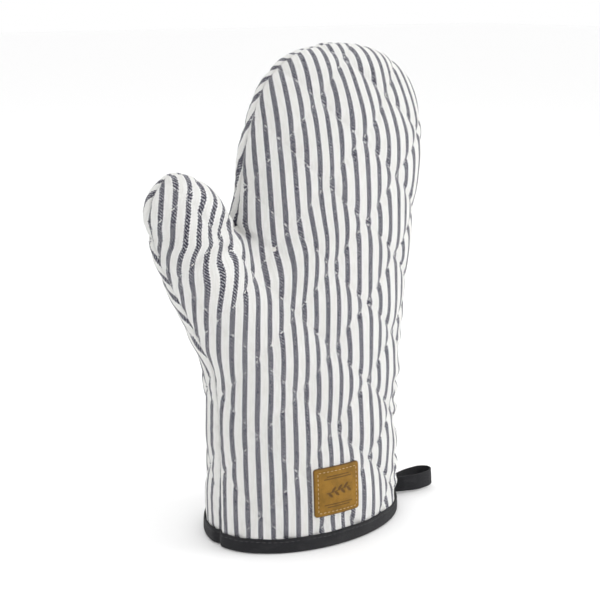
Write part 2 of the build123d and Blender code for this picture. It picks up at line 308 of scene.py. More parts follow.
def thumb_rows(side, fork):
    """Rows of the thumb and the crotch's own point, and how far each of the thumb's points was slid."""
    fork_index, fork_z, fork_v, curve, across = fork
    left, right, _ = hand_at(CROTCH, side)
    corner_u = (left + right) / 2 - walked(row_curve(CROTCH + 0.01, side))[-1] / 2
    corner_v = fork_v + CROTCH - fork_z + FORK_GAP
    middle = np.interp(CROTCH, THUMB_Z, THUMB_X)
    offset = np.interp(middle, curve[:, 0], across) - middle
    fine = np.linspace(CROTCH, THUMB_Z[-1] - 0.15, 400)
    heights, ups = height_rows(fine, np.interp(fine, THUMB_Z, THUMB_DEPTH))
    rows, slides = [], []
    for k, (z, v) in enumerate(zip(heights, ups)):
        curve = thumb_section(z)
        length = walked(curve)
        centre = np.interp(z, THUMB_Z, THUMB_X)
        across = centre + offset + length - np.interp(centre, curve[:, 0], length)
        if k == 0:
            first_end = across[-1]
            continue
        slide = corner_u - first_end - min(SLIDE_SLOPE * v, SLIDE_MOST)
        rows.append(sample_row(curve, across + slide, corner_v + v, (fork_index + k) % 2))
        slides.append(np.full(len(rows[-1][0]), slide))
    rows.append((np.array([[left, 0.0, CROTCH]]), np.array([[corner_u, corner_v]])))
    return rows, np.concatenate(slides)


def panel_mesh(side):
    """A panel's base mesh: points, their places on the cloth, triangles, and the hem's points."""
    hand, fork = hand_rows(side)
    thumb, slides = thumb_rows(side, fork)
    points, flat = (np.concatenate(part) for part in zip(*hand, *thumb))
    sizes = [len(point) for point, _ in hand + thumb]
    ids = [list(range(end - size, end)) for end, size in zip(np.cumsum(sizes), sizes)]
    hand_ids, thumb_ids, corner = ids[:len(hand)], ids[len(hand):-1], ids[-1]
    last = fork[0]
    outline = (hand_ids[0] + [row[-1] for row in hand_ids[1:-1]] + hand_ids[-1][::-1]
               + [row[0] for row in hand_ids[last + 1:-1]][::-1] + corner
               + [row[-1] for row in thumb_ids[:-1]] + thumb_ids[-1][::-1]
               + [row[0] for row in thumb_ids[:-1]][::-1] + [row[0] for row in hand_ids[1:last + 1]][::-1])
    found = geometry.delaunay_2d_cdt([Vector(p) for p in flat], [], [outline], 1, 1e-6)
    triangles = np.array([[found[3][i][0] for i in face] for face in found[2]])
    points[:, 1] *= side
    flat[thumb_ids[0][0]:corner[0], 0] -= slides
    return points, flat, triangles, np.array(hand_ids[0])


def edges_of(faces):
    """The distinct edges of a list of faces."""
    pairs = np.concatenate([np.stack([faces[:, k], faces[:, (k + 1) % faces.shape[1]]], 1)
                            for k in range(faces.shape[1])])
    return np.unique(np.sort(pairs, axis=1), axis=0)


def flatten(points, flat, faces, hem, steps):
    """Lay the panel flat: move the flat points until each edge is as long as it is on the mitt."""
    edges = edges_of(faces)
    rest = np.linalg.norm(points[edges[:, 0]] - points[edges[:, 1]], axis=1)
    count = len(points)
    degree = np.bincount(edges.ravel(), minlength=count)
    flat = flat.copy()
    for _ in range(steps):
        step = flat[edges[:, 1]] - flat[edges[:, 0]]
        length = np.linalg.norm(step, axis=1) + 1e-9
        pull = step * ((length - rest) / length)[:, None]
        for k in range(2):
            moved = np.bincount(edges[:, 0], pull[:, k], count) - np.bincount(edges[:, 1], pull[:, k], count)
            flat[:, k] += FLATTEN_PACE * moved / degree
        flat[hem, 1] = 0.0
    return flat


def cloth_ease(points, u, side):
    """How far the cloth was worked sideways in sewing: by the thumb, and at the far side."""
    x, z = points[:, 0], points[:, 2]
    far = FAR_EASE * np.clip(u - FAR_EASE_START, 0, None) * ramp(z, FAR_EASE_HEAD, FAR_EASE_FOOT)
    if side == PALM:
        return -far
    from_line = x - EASE_LINE + EASE_SPREAD * np.abs(z - CROTCH)
    on_thumb = np.clip(-from_line / (8 + np.abs(z - CROTCH)), 0, 1)
    width = np.where(z < THUMB_EASE_HEIGHT, THUMB_EASE_BELOW, THUMB_EASE_ABOVE)
    thumb = THUMB_EASE * hump(z - THUMB_EASE_HEIGHT, width) * on_thumb**2 * (3 - 2 * on_thumb)
    hand = HAND_EASE * hump(z - HAND_EASE_HEIGHT, HAND_EASE_RUN)
    return thumb - hand * hump(from_line - HAND_EASE_PLACE, HAND_EASE_WIDTH) - far


def subdivided(values, faces, levels):
    """Catmull-Clark subdivision of points, with any further columns carried along."""
    for _ in range(levels):
        count, size = len(values), faces.shape[1]
        pairs = np.sort(np.stack([faces, np.roll(faces, -1, axis=1)], -1).reshape(-1, 2), axis=1)
        edges, which = np.unique(pairs, axis=0, return_inverse=True)
        which = which.reshape(len(faces), size)
        uses = np.bincount(which.ravel(), minlength=len(edges))
        face_mid, edge_mid = values[faces].mean(1), values[edges].mean(1)
        near = added(which, np.repeat(face_mid[:, None], size, 1), len(edges))
        border = uses == 1
        edge_point = np.where(border[:, None], edge_mid, (2 * edge_mid + near) / 4)
        valence = np.bincount(edges.ravel(), minlength=count)[:, None]
        around = added(faces, np.repeat(face_mid[:, None], size, 1), count)
        around /= np.bincount(faces.ravel(), minlength=count)[:, None]
        mids = added(edges, np.repeat(edge_mid[:, None], 2, 1), count) / valence
        moved = (around + 2 * mids + (valence - 3) * values) / valence
        rim = edges[border]
        beside = added(rim, values[rim[:, ::-1]], count)
        on_rim = np.bincount(rim.ravel(), minlength=count) > 0
        moved = np.where(on_rim[:, None], 0.75 * values + 0.125 * beside, moved)
        centre = np.arange(len(faces)) + count + len(edges)
        values = np.concatenate([moved, edge_point, face_mid])
        faces = np.stack([faces, which + count, np.repeat(centre[:, None], size, 1),
                          np.roll(which, 1, axis=1) + count], -1).reshape(-1, 4)
    return values, faces


def added(ids, amounts, count):
    """Sum of the amounts that fall on each id."""
    ids, amounts = ids.ravel(), amounts.reshape(ids.size, -1)
    return np.stack([np.bincount(ids, column, count) for column in amounts.T], 1)


def normals_of(points, faces):
    """Unit normal at each point."""
    a, b, c = points[faces[:, 0]], points[faces[:, 1]], points[faces[:, 2]]
    face = np.cross(b - a, c - a)
    if faces.shape[1] == 4:
        face = face + np.cross(c - a, points[faces[:, 3]] - a)
    total = added(faces, np.repeat(face[:, None], faces.shape[1], 1), len(points))
    return unit(total)


def rim_of(faces):
    """Directed edges of the open border."""
    pairs = np.stack([faces, np.roll(faces, -1, axis=1)], -1).reshape(-1, 2)
    _, which, uses = np.unique(np.sort(pairs, axis=1), axis=0, return_inverse=True, return_counts=True)
    return pairs[uses[which.ravel()] == 1]


def ripple(a, b, seed, scale):
    """Smooth uneven pattern, about -1 to 1, made of a few waves with fixed directions."""
    total = np.zeros_like(a)
    dice = np.random.RandomState(seed)
    for _ in range(7):
        angle, phase, size = dice.rand() * np.pi, dice.rand() * 2 * np.pi, scale * (0.6 + 0.9 * dice.rand())
        total += np.sin((a * np.cos(angle) + b * np.sin(angle)) * 2 * np.pi / size + phase)
    return total / 3.2


def line_distance(u, v, slope, start):
    """Distance to the nearest quilting line of one direction."""
    turns = (v - slope * u - start) / QUILT_PITCH
    return np.abs((turns + 0.5) % 1 - 0.5) * QUILT_PITCH / np.sqrt(2)


def placed(name, data):
    """A new object in the scene."""
    obj = bpy.data.objects.new(name, data)
    bpy.context.scene.collection.objects.link(obj)
    return obj


def make_mesh(name, points, faces, flat=None):
    """A mesh object from millimetre points, with each point's flat cloth place as its UV map, in 0.1 m."""
    mesh = bpy.data.meshes.new(name)
    sizes = np.array([len(face) for face in faces])
    corners = np.array([i for face in faces for i in face])
    mesh.vertices.add(len(points))
    mesh.vertices.foreach_set("co", (np.asarray(points) * MM).astype(np.float32).ravel())
    mesh.loops.add(len(corners))
    mesh.loops.foreach_set("vertex_index", corners.astype(np.int32))
    mesh.polygons.add(len(sizes))
    mesh.polygons.foreach_set("loop_start", (np.cumsum(sizes) - sizes).astype(np.int32))
    mesh.polygons.foreach_set("use_smooth", [True] * len(sizes))
    mesh.update(calc_edges=True)
    if flat is not None:
        layer = mesh.uv_layers.new(name="cloth")
        layer.data.foreach_set("uv", (np.asarray(flat)[corners] / 100.0).astype(np.float32).ravel())
    mesh.validate()
    return placed(name, mesh)


def kept_clear(points, side, gap):
    """The points, none of them nearer to the seam plane than the gap."""
    points[:, 1] = side * np.maximum(side * points[:, 1], gap)
    return points


class Panel:
    """One side of the mitt: its base mesh, its flat pattern and its finished outer face."""

    def __init__(self, side):
        self.side = side
        points, guess, faces, hem = panel_mesh(side)
        if side == PALM:
            faces = faces[:, ::-1]
        flat = flatten(points, guess, faces, hem, FLATTEN_STEPS[side])
        flat[:, 0] += cloth_ease(points, flat[:, 0], side)
        self.base, self.base_flat, self.base_faces = points, flat, faces
        both, self.faces = subdivided(np.concatenate([points, flat], 1), faces, 2)
        self.points, self.flat = both[:, :3], both[:, 3:]
        self.rim = rim_of(self.faces)
        self.find_seam()
        self.relief()

    def find_seam(self):
        """Distance of each point from the side seam, and how far along the seam it is."""
        hem_level = MESH_STEP * 0.05
        ids = np.unique(self.rim)
        ids = ids[self.flat[ids, 1] > hem_level]
        tree = kdtree.KDTree(len(ids))
        for i in ids:
            tree.insert(Vector(self.points[i]), int(i))
        tree.balance()
        near = [tree.find(Vector(p)) for p in self.points]
        self.from_seam = np.array([n[2] for n in near])
        self.seam_point = np.array([n[0] for n in near])

    def relief(self):
        """Quilted puffs, the groove and puckers of the seam, and small creases."""
        u, v = self.flat.T
        rising = line_distance(u, v, 1, QUILT_RISING)
        falling = line_distance(u, v, -1, QUILT_FALLING)
        puff = (1 - np.exp(-rising / PUFF_REACH)) * (1 - np.exp(-falling / PUFF_REACH))
        quilted = PUFF_HEIGHT * puff - QUILT_SINK
        quilted -= GROOVE_DEPTH * (hump(rising, GROOVE_WIDTH) + hump(falling, GROOVE_WIDTH))
        quilted += SWELL * ripple(u, v, 3 + self.side, SWELL_SIZE)
        near_line = np.exp(-np.minimum(rising, falling) / CREASE_REACH)
        quilted += CREASE * ripple(u, v, 11 + self.side, CREASE_SIZE) * near_line
        right_of_cuff = ramp(u, 38, 63) * ramp(v, 135, 95) * ramp(v, 6, 20)
        wander = FOLD_WANDER * ripple(u, v, 21, FOLD_SIZE)
        quilted += FOLD * right_of_cuff * np.sin(v * 2 * np.pi / FOLD_PITCH + wander)
        near_seam = np.exp(-self.from_seam / SEAM_FADE)
        height = quilted * (1 - near_seam)
        height -= SEAM_DEPTH * hump(self.from_seam, SEAM_WIDTH)
        along = self.seam_point[:, 2] + 0.6 * self.seam_point[:, 0]
        wave = np.sin(along * 2 * np.pi / PUCKER_PITCH + 2.0 * ripple(along, 0 * along, 5, 40.0))
        height += PUCKER * wave * near_seam * (1 - np.exp(-self.from_seam / PUCKER_START))
        height -= HEM_SINK * np.exp(-v / HEM_REACH)
        height -= crotch_tuck(self.points)
        if self.side == FRONT:
            height *= 1 - label_cover(self.points[:, 0], self.points[:, 2])
        normal = normals_of(self.points, self.faces)
        self.points = kept_clear(self.points + normal * height[:, None], self.side, SHELL_GAP)
        self.points[:, 2] = np.maximum(self.points[:, 2], HEM_LIFT)
        self.normal = normals_of(self.points, self.faces)

    def ready_lookup(self):
        """A search tree over the flat pattern, for things sewn on the cloth."""
        self.flat3 = [Vector((a, b, 0)) for a, b in self.flat]
        self.tree = BVHTree.FromPolygons(self.flat3, self.faces.tolist())

    def at(self, u, v, lift=0.0):
        """The place on the mitt of a flat point, lifted off the cloth; None off the panel."""
        hit, _, index, _ = self.tree.ray_cast(Vector((u, v, 5)), Vector((0, 0, -1)))
        if hit is None:
            return None
        ids = self.faces[index]
        weights = np.array(poly_3d_calc([self.flat3[i] for i in ids], hit))
        normal = weights @ self.normal[ids]
        return weights @ self.points[ids] + lift * unit(normal)


def crotch_tuck(points):
    """Depth of the tuck that runs from the crotch down across the panel."""
    left = hand_at(CROTCH, FRONT)[0]
    x, z = points[:, 0] - left, CROTCH - points[:, 2]
    along = x * TUCK_DIRECTION[0] + z * TUCK_DIRECTION[1]
    across = z * TUCK_DIRECTION[0] - x * TUCK_DIRECTION[1] + TUCK_BEND * along**2
    run = ramp(along, TUCK_LENGTH, 0) * ramp(along, -TUCK_START, 0)
    return TUCK_DEPTH * run * hump(across, TUCK_WIDTH + TUCK_SPREAD * np.clip(along, 0, None))


def label_cover(x, z):
    """1 under the label, fading to 0 just outside it."""
    over_x = np.abs(x - LABEL_MIDDLE[0]) - LABEL_SIZE[0] / 2
    over_z = np.abs(z - LABEL_MIDDLE[2]) - LABEL_SIZE[2] / 2
    return ramp(np.maximum(over_x, over_z), LABEL_FADE, 0)


def closed_layer(outer, inner, faces):
    """Two faces of one layer joined along the rim."""
    count, rim = len(outer), rim_of(faces)
    side = np.stack([rim[:, 1], rim[:, 0], rim[:, 0] + count, rim[:, 1] + count], 1)
    return np.concatenate([outer, inner]), np.concatenate([faces, faces[:, ::-1] + count, side])


def add_layer(name, node, outer, inner, flat, faces, material):
    """One closed layer of a side between its outer and inner faces, which stands for a CAD node."""
    points, faces = closed_layer(outer, inner, faces)
    return add_piece(name, points, faces, material, "mitt", (node,), np.concatenate([flat] * 2))


def add_panel(panel, name):
    """Shell, wadding and lining of one side."""
    inner = kept_clear(panel.points - SHELL * panel.normal, panel.side, SHELL_GAP)
    shell = add_layer(name + "_shell_cloth", name + "_shell", panel.points, inner, panel.flat,
                      panel.faces, "striped_cotton")
    both, faces = subdivided(np.concatenate([panel.base, panel.base_flat], 1), panel.base_faces, 1)
    middle, flat = both[:, :3], both[:, 3:]
    middle[:, 2] = np.maximum(middle[:, 2], HEM_LIFT)
    normal = normals_of(middle, faces)
    depths = WADDING_START, SHELL + WADDING, SHELL + WADDING + LAYER_GAP, SHELL + WADDING + LINING
    sheets = [kept_clear(middle - depth * normal, panel.side, LAYER_GAP) for depth in depths]
    for sheet in sheets:
        sheet[:, 2] = np.maximum(sheet[:, 2], HEM_LIFT)
    wadding = add_layer(name + "_wadding_layer", name + "_wadding", *sheets[:2], flat, faces, "wadding")
    lining = add_layer(name + "_lining_layer", name + "_lining", *sheets[2:], flat, faces, "lining_cotton")


SURFACE = {"sheen": "Sheen Weight", "sheen_rough": "Sheen Roughness", "shine": "Specular IOR Level"}


class Nodes:
    """Short hand for building a node material."""

    def __init__(self, name):
        self.material = bpy.data.materials.new(name)
        self.material.use_nodes = True
        self.tree = self.material.node_tree
        self.shader = self.tree.nodes["Principled BSDF"]

    def new(self, kind, **settings):
        node = self.tree.nodes.new(kind)
        for key, value in settings.items():
            setattr(node, key, value)
        return node

    def put(self, socket, value):
        if isinstance(value, bpy.types.NodeSocket):
            self.tree.links.new(value, socket)
        else:
            socket.default_value = value

    def math(self, operation, *values):
        node = self.new("ShaderNodeMath", operation=operation)
        for socket, value in zip(node.inputs, values):
            self.put(socket, value)
        return node.outputs[0]

    def times(self, a, b):
        return self.math("MULTIPLY", a, b)

    def wave(self, value, pitch):
        return self.math("SINE", self.times(value, 2 * np.pi / pitch))

    def mix(self, share, low, high):
        node = self.new("ShaderNodeMix", data_type="RGBA")
        for index, value in zip((0, 6, 7), (share, low, high)):
            self.put(node.inputs[index], value)
        return node.outputs[2]

    def noise(self, vector, scale, detail=2.0, rough=0.5):
        node = self.new("ShaderNodeTexNoise")
        for socket, value in zip(("Vector", "Scale", "Detail", "Roughness"), (vector, scale, detail, rough)):
            self.put(node.inputs[socket], value)
        return node.outputs["Fac"]

    def patches(self, place, across, up, detail=2.0, rough=0.5):
        """Noise on the flat cloth, finer across it or up it as the numbers grow."""
        return self.noise(self.stretch(place, (across, up, 1.0)), 1.0, detail, rough)

    def range(self, value, low, high, out_low=0.0, out_high=1.0):
        node = self.new("ShaderNodeMapRange", interpolation_type="SMOOTHSTEP")
        for socket, number in zip(node.inputs, (value, low, high, out_low, out_high)):
            self.put(socket, number)
        return node.outputs[0]

    def stretch(self, vector, scale):
        node = self.new("ShaderNodeVectorMath", operation="MULTIPLY")
        self.put(node.inputs[0], vector)
        node.inputs[1].default_value = scale
        return node.outputs[0]

    def flat(self):
        """Flat cloth place in millimetres: along the hem, and up from it."""
        uv = self.new("ShaderNodeUVMap", uv_map="cloth").outputs[0]
        place = self.stretch(uv, (100.0, 100.0, 100.0))
        split = self.new("ShaderNodeSeparateXYZ")
        self.put(split.inputs[0], place)
        return place, split.outputs[0], split.outputs[1]

    def weave(self, u, v, pitch):
        """Height of a plain weave: crossed yarns, 0 to 1."""
        return self.math("MULTIPLY_ADD", self.times(self.wave(u, pitch), self.wave(v, pitch)), 0.5, 0.5)

    def finish(self, color, roughness, height, distance, **surface):
        """Join up the shader: colour, roughness, bump of a height in metres, and even surface values."""
        for key, value in surface.items():
            self.shader.inputs[SURFACE[key]].default_value = value
        self.put(self.shader.inputs["Base Color"], color)
        self.put(self.shader.inputs["Roughness"], roughness)
        bump = self.new("ShaderNodeBump")
        bump.inputs["Strength"].default_value = 1.0
        bump.inputs["Distance"].default_value = distance
        self.put(bump.inputs["Height"], height)
        self.put(self.shader.inputs["Normal"], bump.outputs[0])
        return self.material


def striped_cotton():
    """Off-white cotton with narrow charcoal stripes of broken yarn, neps and a plain weave."""
    n = Nodes("striped_cotton")
    place, u, v = n.flat()
    wobble = n.times(n.math("SUBTRACT", n.patches(place, 0.05, 0.9), 0.5), 0.5)
    turns = n.math("DIVIDE", n.math("ADD", u, wobble), STRIPE_PITCH)
    phase = n.math("FRACT", n.math("ADD", turns, STRIPE_PHASE))
    off = n.times(n.math("ABSOLUTE", n.math("SUBTRACT", phase, 0.5)), STRIPE_PITCH)
    teeth = n.wave(n.math("ADD", v, n.times(u, 0.35)), TWILL_PITCH)
    ragged = n.math("ADD", off, n.times(teeth, 0.22))
    dark = n.range(ragged, STRIPE_HALF, STRIPE_HALF + STRIPE_BLUR, 1.0, 0.0)
    step = n.range(off, 1.5, 2.0, 1.0, 0.0)
    halo = n.times(n.range(off, 1.5, 1.8), n.range(off, 1.9, 2.5, 1.0, 0.0))
    twill = n.wave(n.math("ADD", n.times(u, 0.9), v), TWILL_PITCH)
    broken = n.math("MULTIPLY_ADD", twill, 0.12, n.patches(place, 1.0, 0.75, 2.0, 0.9))
    charcoal = n.mix(n.range(broken, 0.5, 0.64), CHARCOAL, WORN_CHARCOAL)
    slub = n.patches(place, 1.6, 0.14, 3.0, 0.6)
    cross = n.patches(place, 0.35, 1.8, 3.0, 0.7)
    cloud = n.patches(place, 0.05, 0.05)
    neps = n.range(n.patches(place, 0.9, 0.9, 4.0, 0.75), 0.68, 0.75)
    cream = n.mix(n.range(slub, 0.35, 0.7), CREAM, PALE_CREAM)
    cream = n.mix(n.times(n.range(cross, 0.5, 0.75), 0.3), cream, CROSS_CREAM)
    cream = n.mix(n.times(halo, 0.6), cream, EDGE_CREAM)
    cream = n.mix(n.times(n.range(cloud, 0.4, 0.7), 0.18), cream, CLOUD_CREAM)
    cream = n.mix(n.times(neps, 0.45), cream, NEP)
    color = n.mix(dark, cream, charcoal)
    height = n.math("MULTIPLY_ADD", n.noise(place, 0.9, 3.0, 0.6), 0.7, n.weave(u, v, WEAVE_PITCH))
    height = n.math("MULTIPLY_ADD", step, -0.25, height)
    rough = n.range(slub, 0.2, 0.8, 0.82, 0.96)
    return n.finish(color, rough, height, 0.00022, sheen=0.15, sheen_rough=0.6, shine=0.25)


def plain_cloth(name, low, high, pitch, grain, rough, depth=0.0002):
    """One-colour woven cloth or felt on the flat pattern, with soft variation."""
    n = Nodes(name)
    place, u, v = n.flat()
    uneven = n.patches(place, 0.25, 0.25, 4.0, 0.6)
    yarn = n.weave(u, v, pitch)
    color = n.mix(n.range(n.math("MULTIPLY_ADD", yarn, 0.35, uneven), 0.35, 0.95), low, high)
    height = n.math("MULTIPLY_ADD", n.noise(place, grain, 3.0), 0.6, yarn)
    rough = n.range(uneven, 0.3, 0.7, rough, rough + 0.08)
    return n.finish(color, rough, height, depth, sheen=0.1, shine=0.25)


def twill_tape(name):
    """Black cotton tape: a fine diagonal twill with worn, lighter high spots."""
    n = Nodes(name)
    place, u, v = n.flat()
    rib = n.math("MULTIPLY_ADD", n.wave(n.math("ADD", u, n.times(v, 0.8)), RIB_PITCH), 0.5, 0.5)
    lint = n.patches(place, 0.8, 0.8, 5.0, 0.7)
    worn = n.patches(place, 0.09, 0.2)
    black = n.mix(n.range(worn, 0.45, 0.7, 0.0, 0.5), n.mix(rib, *TAPE_BLACKS), TAPE_WORN)
    color = n.mix(n.range(lint, 0.62, 0.8, 0.0, 0.5), black, TAPE_LINT)
    height = n.math("MULTIPLY_ADD", n.noise(place, 0.7, 3.0), 0.5, rib)
    rough = n.range(lint, 0.3, 0.7, 0.72, 0.9)
    return n.finish(color, rough, height, 0.00018, sheen=0.08, sheen_rough=0.5, shine=0.15)


def thread(name, low, high):
    """Sewing thread: fine twisted strands, on the object's own millimetres."""
    n = Nodes(name)
    place = n.stretch(n.new("ShaderNodeTexCoord").outputs["Object"], (3000.0, 3000.0, 3000.0))
    strand = n.noise(place, 1.0, 3.0, 0.6)
    color = n.mix(n.range(strand, 0.3, 0.7), low, high)
    return n.finish(color, n.range(strand, 0.3, 0.7, 0.6, 0.8), strand, 0.00008, sheen=0.15)


def leather():
    """Tan leather: pebbled grain, darker cut edges and darker pressed marks."""
    n = Nodes("leather")
    place, _, _ = n.flat()
    pore = n.new("ShaderNodeTexVoronoi", feature="DISTANCE_TO_EDGE")
    n.put(pore.inputs["Vector"], place)
    pore.inputs["Scale"].default_value = 1.1
    crack = n.range(pore.outputs["Distance"], 0.0, 0.12)
    cloud = n.patches(place, 0.12, 0.12, 4.0, 0.6)
    grain = n.noise(place, 1.6, 4.0, 0.65)
    color = n.mix(n.range(cloud, 0.3, 0.7), *TANS)
    color = n.mix(n.times(n.range(grain, 0.5, 0.75), 0.35), color, TAN_GRAIN)
    pressed = n.new("ShaderNodeAttribute", attribute_name="pressed").outputs["Fac"]
    color = n.mix(n.times(pressed, 0.75), color, TAN_PRESSED)
    height = n.math("MULTIPLY_ADD", grain, 0.6, crack)
    return n.finish(color, n.range(grain, 0.3, 0.7, 0.48, 0.66), height, 0.00006, shine=0.3)


MATERIALS = {
    "striped_cotton": striped_cotton(),
    "wadding": plain_cloth("wadding", (0.78, 0.77, 0.73, 1), (0.86, 0.85, 0.82, 1), 2.5, 0.4, 0.9, 0.0006),
    "lining_cotton": plain_cloth("lining_cotton", (0.66, 0.64, 0.59, 1), (0.76, 0.745, 0.70, 1),
                                 0.7, 0.9, 0.86),
    "black_binding": twill_tape("black_binding"),
    "white_thread": thread("white_thread", (0.78, 0.78, 0.76, 1), (0.92, 0.92, 0.90, 1)),
    "black_thread": thread("black_thread", (0.016, 0.016, 0.018, 1), (0.05, 0.05, 0.055, 1)),
    "label_thread": thread("label_thread", (0.42, 0.27, 0.11, 1), (0.62, 0.44, 0.21, 1)),
    "leather": leather(),
}


def stitch_mesh(paths, radius):
    """Short rounded bars along small paths of points with outward directions."""
    ring = np.arange(STITCH_SIDES) * 2 * np.pi / STITCH_SIDES
    points, faces = [], []
    for path, out in paths:
        base, count = len(points), len(path)
        across = unit(np.cross(unit(np.gradient(path, axis=0)), out))
        swell = radius * np.sqrt(np.clip(1 - np.linspace(-0.96, 0.96, count) ** 4, 0.05, 1))
        for k in range(count):
            for angle in ring:
                turn = np.cos(angle) * across[k] + STITCH_FLATNESS * np.sin(angle) * out[k]
                points.append(path[k] + swell[k] * turn)
        for a in range(base, base + STITCH_SIDES * (count - 1)):
            b = a + 1 if (a + 1 - base) % STITCH_SIDES else a + 1 - STITCH_SIDES
            faces.append((a, b, b + STITCH_SIDES, a + STITCH_SIDES))
        faces.append(tuple(range(base + STITCH_SIDES - 1, base - 1, -1)))
        faces.append(tuple(range(base + STITCH_SIDES * (count - 1), base + STITCH_SIDES * count)))
    return np.array(points), faces


def quilting_stitch(panel, u, slope, start):
    """One quilting stitch: its points and outward directions, or None where there is none."""
    spots = []
    for share in STITCH_SHARES:
        du = share * STITCH_LENGTH / np.sqrt(2)
        v = start + slope * (u + du)
        if not 3.0 < v < panel.flat[:, 1].max():
            return None
        spot = panel.at(u + du, v, -STITCH_SINK if abs(share) == 0.5 else STITCH_LIFT)
        if spot is None or label_cover(spot[0], spot[2]) > 0.95 or spot[2] < SEWN_ABOVE:
            return None
        spots.append(spot)
    path = np.array(spots)
    above = panel.at(u, start + slope * u, 1.0)
    if above is None or abs(np.linalg.norm(path[-1] - path[0]) / STITCH_LENGTH - 1) > 0.4:
        return None
    out = above - path[len(path) // 2]
    return path, np.tile(unit(out), (len(path), 1))


def quilting_paths(panel):
    """The stitches of one panel's quilting, as points on the cloth and outward directions."""
    places = np.arange(panel.flat[:, 0].min(), panel.flat[:, 0].max(), STITCH_PITCH / np.sqrt(2))
    stitches = [quilting_stitch(panel, u, slope, start + k * QUILT_PITCH)
                for slope, start in ((1, QUILT_RISING), (-1, QUILT_FALLING))
                for k in range(-4, 10) for u in places]
    return [stitch for stitch in stitches if stitch is not None]


def add_piece(name, points, faces, material, body, replaced, flat=None):
    """A finished piece: mesh, material, body and the CAD nodes it stands for."""
    obj = make_mesh(name, points, faces, flat)
    obj.data.materials.append(MATERIALS[material])
    if body:
        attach(obj, body)
    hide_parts(*replaced)
    return obj


def cuff_place(angle, z, grown):
    """A point outside the wrist's outline at a height, with a notch at each side seam."""
    left, right, front = hand_at(z, FRONT)
    palm = hand_at(z, PALM)[2]
    from_seam = np.abs(np.sin(angle)) * NOTCH_RUN
    grown = grown - SEAM_NOTCH * hump(from_seam, NOTCH_WIDTH)
    depth = np.where(np.sin(angle) < 0, front, palm) + grown
    half = (right - left) / 2 + grown
    return np.stack([(left + right) / 2 + half * np.cos(angle), depth * np.sin(angle),
                     np.broadcast_to(z, np.shape(angle))], -1)


def add_binding():
    """Tape folded over the raw edge, a little uneven, with its stitch row."""
    profile = np.array([       # outwards from the cloth's face, height
        (0.10, 9.10), (0.55, 9.30), (1.00, 9.05), (1.25, 8.3), (1.05, 7.5),
        (1.30, 6.4), (1.45, 5.0), (1.45, 3.2),
        (1.40, 1.6), (1.05, 0.55), (0.30, 0.05), (-1.5, 0.0), (-4.5, 0.0), (-6.2, 0.15), (-6.9, 0.9),
        (-7.05, 2.4), (-7.0, 5.0), (-6.95, 7.6), (-6.75, 8.6), (-6.4, 8.9), (-5.9, 8.7), (-5.75, 5.0),
        (-5.7, 1.6), (-5.2, 1.15), (-0.6, 1.15), (-0.1, 1.6), (-0.05, 5.0), (0.02, 8.6)])
    count, rows = BINDING_STEPS, len(profile)
    angle = np.linspace(0, 2 * np.pi, count, endpoint=False)
    ring = cuff_place(angle, np.full(count, 4.0), 0.0)
    along = walked(np.concatenate([ring, ring[:1]]))
    length = along[-1]
    round_u, round_v = np.cos(angle) * length / 7, np.sin(angle) * length / 7
    edge = 0.35 * ripple(round_u, round_v, 31, 30.0)
    bulge = 0.25 * ripple(round_u, round_v, 37, 22.0)
    points, flat = [], []
    for (grown, height), v in zip(profile, walked(profile)):
        swell = bulge * np.clip(height / 4, 0, 1) * (grown > 0.5)
        place = cuff_place(angle, np.full(count, height), grown + swell)
        place[:, 2] += edge * np.clip(height / 9, 0, 1)
        points.append(place)
        flat.append(np.stack([along[:-1], np.full(count, v)], 1))
    ids = np.arange(rows * count).reshape(rows, count)
    below = np.roll(ids, -1, axis=0)
    faces = np.stack([ids, below, np.roll(below, -1, axis=1), np.roll(ids, -1, axis=1)], -1).reshape(-1, 4)
    add_piece("cuff_binding_tape", np.concatenate(points), faces, "black_binding", "mitt", ("cuff_binding",),
              np.concatenate(flat))
    paths = []
    level = np.full(len(STITCH_SHARES), BINDING_STITCH_HEIGHT)
    for middle in np.arange(4.0, length - 4.0, BINDING_STITCH_PITCH):
        run = middle + 2 * BINDING_STITCH_HALF * STITCH_SHARES
        spots = np.interp(run, along, np.append(angle, 2 * np.pi))
        path = cuff_place(spots, level, BINDING_STITCH_OUT)
        out = cuff_place(spots, level, BINDING_STITCH_OUT + 1) - path
        path[:, 2] += np.interp(middle, along[:-1], edge)
        paths.append((path, unit(out)))
    points, faces = stitch_mesh(paths, BINDING_STITCH_RADIUS)
    add_piece("binding_stitches", points, faces, "black_thread", "mitt", ("binding_stitching",))


def label_surface(x, z, lift):
    """A point over the label's place on the front panel."""
    left, right, depth = hand_at(z, FRONT)
    centre, half = (left + right) / 2, (right - left) / 2
    angle = -np.arccos(np.clip((x - centre) / half, -1, 1))
    normal = np.stack([depth * np.cos(angle), half * np.sin(angle)], -1)
    normal /= np.linalg.norm(normal, axis=-1)[..., None]
    return np.stack([x + lift * normal[..., 0], depth * np.sin(angle) + lift * normal[..., 1], z], -1)


def past(value, reach):
    """How far past the reach a value is, on either side of 0."""
    return np.clip(np.abs(value) - reach, 0, None)


